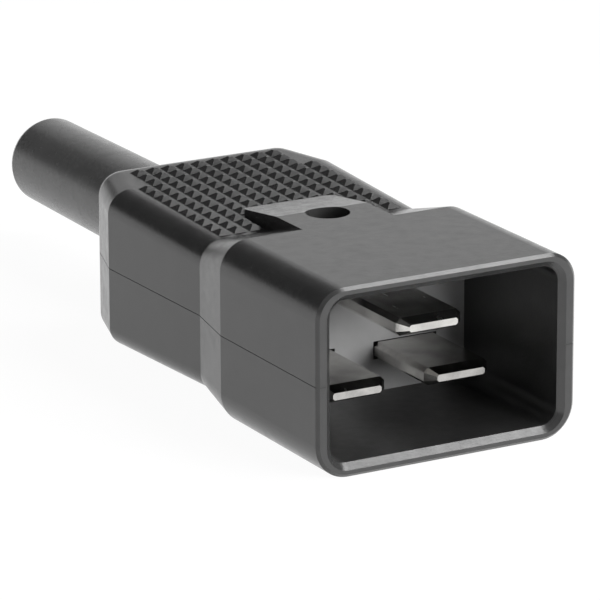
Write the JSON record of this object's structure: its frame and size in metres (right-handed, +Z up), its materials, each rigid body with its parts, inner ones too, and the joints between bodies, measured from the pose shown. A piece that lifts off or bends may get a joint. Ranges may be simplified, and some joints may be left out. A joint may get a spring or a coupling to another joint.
{
  "type": "rewirable power plug",
  "caption": "Straight rewirable power plug: flat blades recessed in a rectangular shroud, a waffled grip with a screwed split housing, and a round bend-protection boot.",
  "frame": {"origin": "centre of the footprint at the height of the shroud's flat underside, on which the plug rests", "axes": "+Y along the plug from the mouth of the shroud to the end of the boot, +Z up through the housing screw's hole, +X to the right when looking into the boot's direction from the mouth"},
  "size_m": [0.032, 0.096, 0.021],
  "materials": {
    "shell_plastic": "fine spark-eroded moulding, slight sheen",
    "carrier_plastic": "plain moulding",
    "blade_metal": "bright nickel plate on brass",
    "screw_steel": "zinc plate",
    "clamp_plastic": "plain moulding",
    "boot_rubber": "smooth flexible moulding"
  },
  "bodies": {
    "root": {"upper_shell": "shell_plastic", "lower_shell": "shell_plastic", "pin_carrier": "carrier_plastic", "line_pin": "blade_metal", "neutral_pin": "blade_metal", "earth_pin": "blade_metal", "terminal_screws": "screw_steel", "housing_screw": "screw_steel", "housing_nut": "screw_steel", "cord_clamp": "clamp_plastic", "clamp_screws": "screw_steel", "boot": "boot_rubber"}
  },
  "joints": []
}
